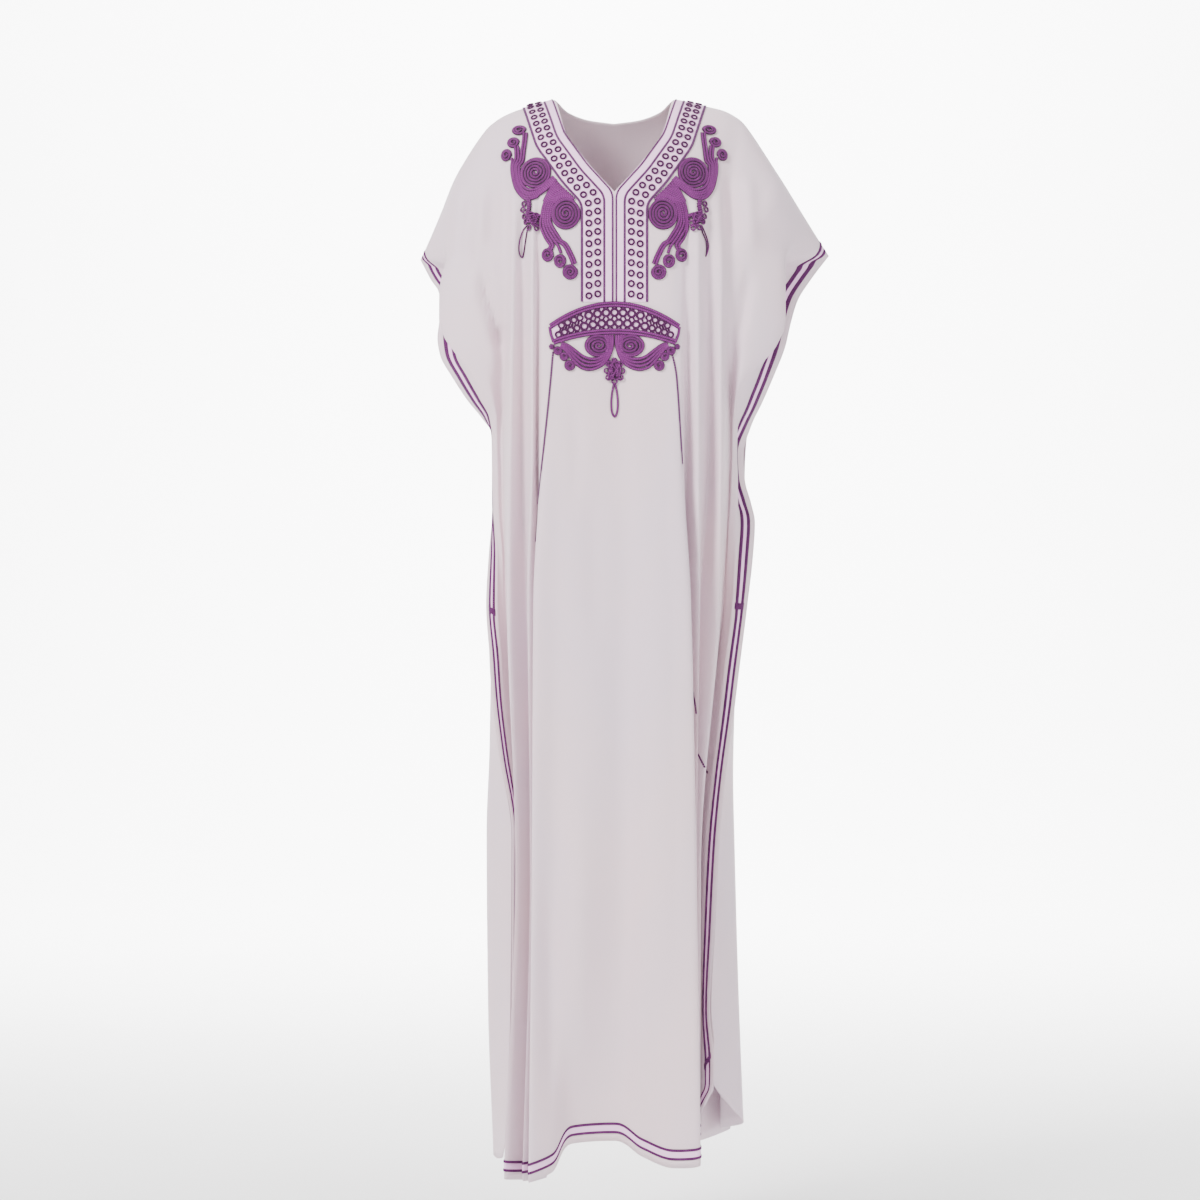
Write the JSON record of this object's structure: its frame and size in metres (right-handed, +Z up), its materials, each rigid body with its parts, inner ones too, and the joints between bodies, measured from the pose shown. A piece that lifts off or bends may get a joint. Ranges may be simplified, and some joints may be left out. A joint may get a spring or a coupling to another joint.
{
  "type": "kaftan",
  "caption": "Full-length pale kaftan as worn, V neck and wide open sleeves, with corded purple scrolls, a ringed neck band and a braided front border.",
  "frame": {"origin": "on the shoulder line, midway between the two neck corners, where the wearer's shoulders carry the cloth", "axes": "+Z up, the front faces -Y, +X towards the viewer's right in the picture"},
  "size_m": [0.536, 0.2772, 1.3964],
  "materials": {
    "cloth": "smooth crepe with a soft sheen",
    "band_cloth": "matt woven band",
    "braid": "matt braid",
    "corded_braid": "corded braid, matt"
  },
  "bodies": {
    "root": {"front_panel": "cloth", "back_panel": "cloth", "neck_band_front": "band_cloth", "neck_band_back": "band_cloth", "crescent": "band_cloth", "front_border_braid": "braid", "left_shoulder_scroll": "corded_braid", "right_shoulder_scroll": "corded_braid", "chest_scroll": "corded_braid", "left_knot_loop": "corded_braid", "right_knot_loop": "corded_braid", "chest_knot_loop": "corded_braid"}
  },
  "joints": []
}
